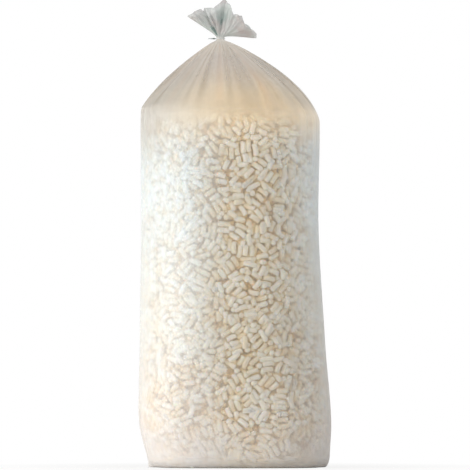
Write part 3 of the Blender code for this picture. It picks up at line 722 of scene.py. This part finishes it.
def near_pairs(middles, reach):
    """Index pairs of points nearer than reach, found through cubic cells."""
    cell = np.floor(middles / reach).astype(np.int64)
    cell -= cell.min(axis=0) - 1
    spans = cell.max(axis=0) + 2
    key = (cell[:, 0] * spans[1] + cell[:, 1]) * spans[2] + cell[:, 2]
    order = np.argsort(key, kind="stable")
    sorted_key = key[order]
    firsts, seconds = [], []
    for i, j, k in itertools.product((-1, 0, 1), repeat=3):
        if (i, j, k) < (0, 0, 0):
            continue
        other = key + (i * spans[1] + j) * spans[2] + k
        low = np.searchsorted(sorted_key, other, side="left")
        high = np.searchsorted(sorted_key, other, side="right")
        count = high - low
        first = np.repeat(np.arange(len(key)), count)
        within = np.arange(count.sum()) - np.repeat(np.cumsum(count) - count, count)
        second = order[np.repeat(low, count) + within]
        if (i, j, k) == (0, 0, 0):
            keep = first < second
            first, second = first[keep], second[keep]
        firsts.append(first)
        seconds.append(second)
    first, second = np.concatenate(firsts), np.concatenate(seconds)
    close = np.linalg.norm(middles[first] - middles[second], axis=1) < reach
    return first[close], second[close]


def push_apart(head, foot, first, second, diameter):
    """Share each overlap between two bars' ends, at the places where the bars are nearest."""
    run_a, run_b = head[first] - foot[first], head[second] - foot[second]
    offset = foot[first] - foot[second]
    aa, bb = (run_a * run_a).sum(1), (run_b * run_b).sum(1)
    ab, ao, bo = (run_a * run_b).sum(1), (run_a * offset).sum(1), (run_b * offset).sum(1)
    base = np.maximum(aa * bb - ab * ab, 1e-12)
    s = np.clip((ab * bo - bb * ao) / base, 0, 1)
    t = np.clip((ab * s + bo) / bb, 0, 1)
    s = np.clip((ab * t - ao) / aa, 0, 1)
    gap = (foot[first] + run_a * s[:, None]) - (foot[second] + run_b * t[:, None])
    distance = np.linalg.norm(gap, axis=1)
    short = diameter - distance
    hit = short > 0
    first, second, s, t = first[hit], second[hit], s[hit], t[hit]
    way = gap[hit] / np.maximum(distance[hit], 1e-6)[:, None]
    push = way * (short[hit] * PUSH_SHARE)[:, None]
    for index, share, sign in ((first, s, 1.0), (second, t, -1.0)):
        for ends, weight in ((head, share), (foot, 1 - share)):
            move = push * (sign * weight)[:, None] * TURN_GAIN
            for axis in range(3):
                ends[:, axis] += np.bincount(index, move[:, axis], len(ends))


def keep_in_bag(ends, radius):
    """Hold the bars' ends inside the film, off the floor, and out of the unseen middle of the fill."""
    depth, outward = film_distance(ends)
    short = np.maximum(0, radius + FILM_CLEARANCE - depth)
    ends -= outward * short[:, None]
    highest = fill_top(ends) - FOAM_GIVE - radius
    ends[:, 2] = np.clip(ends[:, 2], radius + FLOOR_CLEARANCE, highest)
    past = depth - (LAYER_DEPTH - radius)
    above = highest + 2 * radius - LAYER_DEPTH - ends[:, 2]
    below = ends[:, 2] - (FLOOR_LAYER - radius)
    inside = (past > 0) & (above > 0) & (below > 0)
    to_wall = inside & (past <= above) & (past <= below)
    to_top = inside & (above < past) & (above <= below)
    to_floor = inside & (below < past) & (below < above)
    ends += outward * np.where(to_wall, past, 0)[:, None] * RETURN_SHARE
    ends[:, 2] += np.where(to_top, above, 0) * RETURN_SHARE - np.where(to_floor, below, 0) * RETURN_SHARE


def corners_of(mesh):
    corners = np.empty(len(mesh.vertices) * 3)
    mesh.vertices.foreach_get("co", corners)
    return corners.reshape(-1, 3)


def line_of(node):
    """Both ends of the centre line of a loose peanut of the solid model."""
    corners = corners_of(bpy.data.objects[node].data)
    middle = (corners.min(axis=0) + corners.max(axis=0)) / 2
    way = np.linalg.svd(corners - corners.mean(axis=0), full_matrices=False)[2][0]
    arm = way * (PEANUT_LENGTH - PEANUT_DIAMETER) / 2
    return middle - arm, middle + arm


def pour_peanuts(outer_heads, outer_feet, loose):
    """Both ends of the centre line of every peanut behind the outer ones, after the fill has settled."""
    draw = np.random.default_rng(PACK_SEED)
    radius = PEANUT_DIAMETER / 2
    half = (PEANUT_LENGTH - PEANUT_DIAMETER) / 2
    highest = FILL_EDGE + FILL_CROWN
    far, front = THROW_HALF
    throws = draw.uniform((-far, -front, 0.0), (far, front, highest), (THROWS, 3))
    depth, outward = film_distance(throws)
    under = fill_top(throws) - throws[:, 2]
    shell = (depth < LAYER_DEPTH) | (under < LAYER_DEPTH) | (throws[:, 2] < FLOOR_LAYER)
    room = (depth > 0) & (under > 0) & shell
    volume = room.mean() * (2 * far) * (2 * front) * highest
    bar = math.pi * radius**2 * (2 * half) + 4 / 3 * math.pi * radius**3
    count = int(FILL_SHARE * volume / bar) - len(outer_heads)
    behind = room & (depth > PEANUT_DIAMETER) & (under > PEANUT_DIAMETER)
    middle = throws[behind][:count]
    facing = outward[behind][:count]
    way = draw.normal(size=(len(middle), 3))
    way -= facing * ((way * facing).sum(1) * 0.55)[:, None]
    way /= np.linalg.norm(way, axis=1)[:, None]
    still_heads = np.concatenate([outer_heads, [ends[0] for ends in loose]])
    still_feet = np.concatenate([outer_feet, [ends[1] for ends in loose]])
    held = len(still_heads)
    head = np.concatenate([still_heads, middle + way * half])
    foot = np.concatenate([still_feet, middle - way * half])
    for turn in range(PACK_ROUNDS):
        if turn % 6 == 0:
            first, second = near_pairs((head + foot) / 2, PEANUT_LENGTH + 0.004)
            free = second >= held
            first, second = first[free], second[free]
        grown = PEANUT_DIAMETER * min(1.0, START_SIZE + (1 - START_SIZE) * turn / (0.5 * PACK_ROUNDS))
        head[held:, 2] -= SETTLE_STEP
        foot[held:, 2] -= SETTLE_STEP
        push_apart(head, foot, first, second, grown)
        head[:held], foot[:held] = still_heads, still_feet
        keep_in_bag(head[held:], grown / 2)
        keep_in_bag(foot[held:], grown / 2)
        middle, way = (head + foot) / 2, head - foot
        way *= (half / np.maximum(np.linalg.norm(way, axis=1), 1e-6))[:, None]
        head[held:], foot[held:] = (middle + way)[held:], (middle - way)[held:]
    return head[held:], foot[held:]


HEEL_CLEARANCE = 0.0013


def tuck_in(corners):
    """Press the bars' corners back inside the film and off the floor, as the film presses the soft foam."""
    level = np.maximum(corners[:, 2], HEEL_RADIUS)
    centre = bag_section(np.minimum(level, NECK_BOTTOM))[0]
    angle = np.arctan2(corners[:, 1], corners[:, 0] - centre)
    skin = film_surface(angle, level)
    reach = np.hypot(skin[:, 0] - centre, skin[:, 1]) - HEEL_RADIUS
    out = np.hypot(corners[:, 0] - centre, corners[:, 1]) - reach
    down = np.minimum(corners[:, 2] - HEEL_RADIUS, 0)
    past = np.maximum(np.hypot(np.maximum(out, 0), down), 1e-6)
    share = np.minimum(1, (HEEL_RADIUS - HEEL_CLEARANCE) / past)
    radius = reach + np.where(out > 0, out * share, out)
    height = np.where(down < 0, HEEL_RADIUS + down * share, corners[:, 2])
    return np.stack([centre + radius * np.cos(angle), radius * np.sin(angle), height], axis=-1)


# Packing peanuts, their shape
# Expanded foam pushed through a round die and chopped: a short bar with soft rims, bowed by the knife. One
# bar is made and set down once for every peanut of the pack, each a little longer or thinner than the next.
PEANUT_BOW = 0.0030
PEANUT_SIDES = 8
THICKNESS_RANGE = (0.93, 1.04)
LENGTH_RANGE = (0.82, 1.06)
SHAPE_SEED = 3


def peanut_tree():
    """Geometry nodes that set one bar of foam on every point, turned and sized by the point's own values."""
    tree = bpy.data.node_groups.new("packing_peanuts", "GeometryNodeTree")
    face = tree.interface
    sizes = {"Length": "Float", "Diameter": "Float", "Bow": "Float", "Sides": "Int"}
    for name, kind in {"Geometry": "Geometry", **sizes, "Material": "Material"}.items():
        face.new_socket(name, in_out="INPUT", socket_type="NodeSocket" + kind)
    face.new_socket("Geometry", in_out="OUTPUT", socket_type="NodeSocketGeometry")
    given = add_node(tree, "NodeGroupInput").outputs
    radius = calculate(tree, "MULTIPLY", given["Diameter"], 0.5)
    half = calculate(tree, "MULTIPLY", given["Length"], 0.5)
    bar = add_node(
        tree,
        "GeometryNodeMeshCylinder",
        {"Vertices": given["Sides"], "Side Segments": 5, "Radius": radius, "Depth": given["Length"]},
        fill_type="NGON",
    )
    spot = add_node(tree, "GeometryNodeInputPosition")
    parts = add_node(tree, "ShaderNodeSeparateXYZ", {"Vector": spot}).outputs
    along = calculate(tree, "DIVIDE", parts["Z"], half)
    away = calculate(tree, "ABSOLUTE", along, 0.0)
    # The five bands of the bar are moved so that the two outer ones make the soft rims.
    rings = add_node(tree, "ShaderNodeFloatCurve", {"Value": away})
    rims = add_node(tree, "ShaderNodeFloatCurve", {"Value": away})
    for node, middle, inner, outer, end in ((rings, 0.0, 0.36, 0.86, 1.0), (rims, 1.0, 1.0, 0.97, 0.62)):
        points = node.mapping.curves[0].points
        points[0].location, points[1].location = (0.0, middle), (1.0, end)
        points.new(0.2, inner)
        points.new(0.6, outer)
        for point in points:
            point.handle_type = "VECTOR"
        node.mapping.update()
    signed = calculate(tree, "MULTIPLY", calculate(tree, "SIGN", along, 0.0), rings)
    bowed = calculate(tree, "SUBTRACT", 1.0, calculate(tree, "MULTIPLY", signed, signed))
    lift = calculate(tree, "MULTIPLY", bowed, given["Bow"])
    across = calculate(tree, "MULTIPLY", parts["X"], rims)
    across = calculate(tree, "ADD", across, lift)
    upward = calculate(tree, "MULTIPLY", parts["Y"], rims)
    lengthwise = calculate(tree, "MULTIPLY", signed, half)
    spot = add_node(tree, "ShaderNodeCombineXYZ", {"X": across, "Y": upward, "Z": lengthwise})
    shaped = add_node(tree, "GeometryNodeSetPosition", {"Geometry": bar, "Position": spot})
    smooth = add_node(tree, "GeometryNodeSetShadeSmooth", {"Geometry": shaped})
    turn = add_node(tree, "GeometryNodeInputNamedAttribute", {"Name": "turn"}, data_type="FLOAT_VECTOR")
    size = add_node(tree, "GeometryNodeInputNamedAttribute", {"Name": "size"}, data_type="FLOAT_VECTOR")
    rotation = add_node(tree, "FunctionNodeEulerToRotation", {"Euler": turn.outputs["Attribute"]})
    placed = add_node(
        tree,
        "GeometryNodeInstanceOnPoints",
        {
            "Points": given["Geometry"],
            "Instance": smooth,
            "Rotation": rotation,
            "Scale": size.outputs["Attribute"],
        },
    )
    real = add_node(tree, "GeometryNodeRealizeInstances", {"Geometry": placed})
    finished = add_node(tree, "GeometryNodeSetMaterial", {"Geometry": real, "Material": given["Material"]})
    add_node(tree, "NodeGroupOutput", {"Geometry": finished})
    return tree


# Packing peanuts, material
# Expanded starch foam: matte and off-white, with a fine pitted skin about 1 mm in grain, a little yellower on
# some peanuts than on others. Light passes a few millimetres into it. The foam is also painted warm yellow
# the deeper it lies below the film and the crown, whichever is nearer, as painted shade between and behind
# the outer peanuts.
foam_material, tree, place = new_material("expanded_starch_foam")
tint = attribute(tree, "tint")
fresh_tone = ramp(tree, tint, [(0.0, "#f6f4ee"), (0.6, "#f5f2ea"), (0.9, "#f3ede0"), (1.0, "#efe6d4")])
# Painted shade: from 9 to 26 mm below the film or the crown the foam colour turns warm yellow.
painted_warm_shade = number_map(tree, attribute(tree, "depth"), 0.009, 0.026, 0.0, 1.0)
foam_tone_and_painted_shade = mix_colours(tree, painted_warm_shade, fresh_tone, srgb("#fdd68a"))
skin = add_node(tree, "ShaderNodeTexVoronoi", {"Vector": place, "Scale": 700.0})
pits = add_node(tree, "ShaderNodeBump", {"Height": skin, "Strength": 0.25, "Distance": 0.0006})
soft = {"Subsurface Weight": 1.0, "Subsurface Radius": (1.0, 0.85, 0.65), "Subsurface Scale": 0.004}
set_surface(tree, principled(tree, foam_tone_and_painted_shade, 0.8, 1.35, Normal=pits, **soft))

# Packing peanuts, set down
# About 7,200 bars of foam: those against the film and on the crown, and those behind them. The thirty-six
# loose ones on the crown are the solids themselves. The bars are kept in four pieces, from the floor up.
LOOSE_PEANUTS = [f"peanut_{i:02d}" for i in range(1, 37)]
BATCHES = 4
outer_heads, outer_feet = lay_outer_peanuts()
heads, feet = pour_peanuts(outer_heads, outer_feet, [line_of(node) for node in LOOSE_PEANUTS])
heads, feet = np.concatenate([outer_heads, heads]), np.concatenate([outer_feet, feet])
draw = np.random.default_rng(SHAPE_SEED)
middles = (heads + feet) / 2
ways = (heads - feet) / np.linalg.norm(heads - feet, axis=1)[:, None]
rolls = draw.uniform(0, math.tau, len(middles))
eulers = np.array(
    [
        (Vector(way).to_track_quat("Z", "Y") @ Matrix.Rotation(roll, 3, "Z").to_quaternion()).to_euler()[:]
        for way, roll in zip(ways, rolls)
    ]
)
sizes = np.ones((len(middles), 3))
sizes[:, :2] = draw.uniform(*THICKNESS_RANGE, len(middles))[:, None]
sizes[:, 2] = draw.uniform(*LENGTH_RANGE, len(middles))
tints = draw.uniform(0, 1, len(middles))
tree = peanut_tree()
wanted = {
    "Length": PEANUT_LENGTH,
    "Diameter": PEANUT_DIAMETER,
    "Bow": PEANUT_BOW,
    "Sides": PEANUT_SIDES,
    "Material": foam_material,
}
order = np.argsort(middles[:, 2])
for number, batch in enumerate(np.array_split(order, BATCHES), start=1):
    name = f"peanuts_{number}"
    cloud_mesh = bpy.data.meshes.new(name)
    cloud_mesh.from_pydata([tuple(p) for p in middles[batch]], [], [])
    for label, values in (("turn", eulers), ("size", sizes), ("tint", tints)):
        keep_values(cloud_mesh, label, values[batch])
    points_object = add_object(name + "_points", cloud_mesh)
    modifier = points_object.modifiers.new("peanuts", "NODES")
    modifier.node_group = tree
    for item in tree.interface.items_tree:
        if item.in_out == "INPUT" and item.name in wanted:
            modifier[item.identifier] = wanted[item.name]
    evaluated = points_object.evaluated_get(bpy.context.evaluated_depsgraph_get())
    mesh = bpy.data.meshes.new_from_object(evaluated)
    bpy.data.objects.remove(points_object)
    corners = tuck_in(corners_of(mesh))
    mesh.vertices.foreach_set("co", corners.ravel())
    mesh.update()
    below_film = np.minimum(film_distance(corners)[0], fill_top(corners) - corners[:, 2])
    keep_values(mesh, "depth", below_film)
    batch_object = add_object(name, mesh)
    if number == BATCHES:
        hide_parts("peanut_heap")
    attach(batch_object, "root")
for node in LOOSE_PEANUTS:
    bpy.data.objects[node].data.materials.clear()
    bpy.data.objects[node].data.materials.append(foam_material)

# Unseen middle of the fill
# The peanuts further in than about 50 mm are never seen one by one: one body of the same foam that stands on
# the lowest peanuts and closes the gaps between the outer ones, coloured warm and dark as painted deep shade.
CORE_COLUMNS, CORE_ROWS = 72, 24
CORE_OVERLAP = 0.004
core_material, tree, place = new_material("foam_in_shade")
lumps = add_node(tree, "ShaderNodeTexVoronoi", {"Vector": place, "Scale": 55.0})
# Warm darkish tan with lumps of tone: painted shade of the foam deep in the fill.
core_painted_shade_tone = ramp(tree, lumps, [(0.0, "#f3d796"), (1.0, "#dcb66c")])
set_surface(tree, principled(tree, core_painted_shade_tone, 0.9, 1.35))
core_heights = np.linspace(FLOOR_LAYER, FILL_EDGE - LAYER_DEPTH, CORE_ROWS)
core_turns = np.arange(CORE_COLUMNS) * math.tau / CORE_COLUMNS
grid_turn, grid_height = np.meshgrid(core_turns, core_heights)
centre, radius = film_radius(grid_turn, grid_height)
radius = radius - LAYER_DEPTH + CORE_OVERLAP
core_x, core_y = centre + radius * np.cos(grid_turn), radius * np.sin(grid_turn)
core_points = np.stack([core_x, core_y, grid_height], axis=-1).reshape(-1, 3)
core_faces = tube_faces(CORE_ROWS, CORE_COLUMNS)
core_faces.append(tuple(reversed(range(CORE_COLUMNS))))
core_faces.append(tuple(len(core_points) - CORE_COLUMNS + i for i in range(CORE_COLUMNS)))
core = mesh_object("fill_core", core_points, core_faces)
core.data.materials.append(core_material)
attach(core, "root")

# Neck tie
# A short piece of soft wire in a pale plastic sleeve, passed once round the neck and twisted by hand. The
# twist stands out to the left and is coloured dark green-black as painted shade, and its cut ends stay pale.
# Where the painted shade of the twist starts and stops, outwards from the middle of the neck, and its soft
# edge.
TWIST_SHADE_INNER, TWIST_SHADE_OUTER, TWIST_SHADE_EDGE = 0.0155, 0.0265, 0.002
tie_material, tree, place = new_material("sleeved_wire")
# Painted shade on the twist: dark green-black with a fine speckle, mixed in between the two marks below.
twist_painted_shade_tone = ramp(tree, noise(tree, place, 900.0), [(0.3, "#1b2a22"), (0.7, "#2c3f33")])
across = add_node(tree, "ShaderNodeSeparateXYZ", {"Vector": place}).outputs["X"]
loop_end, cut_end = NECK_X - TWIST_SHADE_INNER, NECK_X - TWIST_SHADE_OUTER
loop = number_map(tree, across, loop_end - TWIST_SHADE_EDGE, loop_end, 0.0, 1.0)
ends = number_map(tree, across, cut_end - TWIST_SHADE_EDGE, cut_end, 1.0, 0.0)
sleeve = calculate(tree, "MAXIMUM", loop, ends)
sleeve_and_painted_shade_tone = mix_colours(tree, sleeve, twist_painted_shade_tone, srgb("#c3c8c8"))
set_surface(tree, principled(tree, sleeve_and_painted_shade_tone, 0.42, 1.5))
tie = bpy.data.objects["neck_tie"]
tie.data.materials.clear()
tie.data.materials.append(tie_material)

# Floor, backdrop and light
# A pale floor and a white surround. The strong soft light stands to the left, as the photograph's does, and
# two faint ones stand for the light of the room on the right side and on the front.
AMBIENT = 0.53
SHADOW_INNER, SHADOW_OUTER = 0.36, 1.1
floor_material, tree, place = new_material("pale_floor")
seen = add_node(tree, "ShaderNodeLightPath").outputs["Is Camera Ray"]
paint = add_node(tree, "ShaderNodeBsdfDiffuse", {"Color": srgb("#f4f3f0")})
glow = add_node(tree, "ShaderNodeEmission", {"Color": (1, 1, 1, 1), "Strength": 1.0})
away = add_node(tree, "ShaderNodeVectorMath", {0: place}, operation="LENGTH").outputs["Value"]
share = calculate(tree, "MULTIPLY", seen, number_map(tree, away, SHADOW_INNER, SHADOW_OUTER, 0.80, 1.0))
set_surface(tree, add_node(tree, "ShaderNodeMixShader", {0: share, 1: paint, 2: glow}))
floor = mesh_object("floor", [(-12, -16, 0), (12, -16, 0), (12, 14, 0), (-12, 14, 0)], [(0, 1, 2, 3)])
floor.data.materials.append(floor_material)

world = bpy.data.worlds.new("room")
bpy.context.scene.world = world
world.use_nodes = True
tree = world.node_tree
tree.nodes.clear()
path = add_node(tree, "ShaderNodeLightPath").outputs
direct = calculate(tree, "MAXIMUM", path["Is Camera Ray"], path["Is Glossy Ray"])
direct = calculate(tree, "MAXIMUM", direct, path["Is Transmission Ray"])
strength = number_map(tree, direct, 0.0, 1.0, AMBIENT, 1.0)
sky = add_node(tree, "ShaderNodeBackground", {"Color": (1, 1, 1, 1), "Strength": strength})
add_node(tree, "ShaderNodeOutputWorld", {"Surface": sky})


def soft_lamp(name, place, aim, size, power, colour, spread=180):
    """A round area lamp, its size in metres, its power in watts and its spread in degrees."""
    data = bpy.data.lights.new(name, "AREA")
    data.shape = "DISK"
    data.size = size
    data.energy = power
    data.spread = math.radians(spread)
    data.color = srgb(colour)[:3]
    lamp = add_object(name, data)
    lamp.location = place
    lamp.rotation_euler = (Vector(aim) - Vector(place)).to_track_quat("-Z", "Y").to_euler()


soft_lamp("window_left", (-3.55, -2.05, 0.5), (0, 0, 0.5), 1.2, 124.0, "#ffffff")
soft_lamp("room_right", (2.0, -1.6, 2.1), (0.3, 0, 1.40), 1.0, 2.9, "#f4f7ff", spread=70)
soft_lamp("room_front", (1.5, -4.5, 0.9), (0, 0, 0.4), 2.5, 17.0, "#ffffff")

bpy.context.scene.view_settings.view_transform = "Standard"
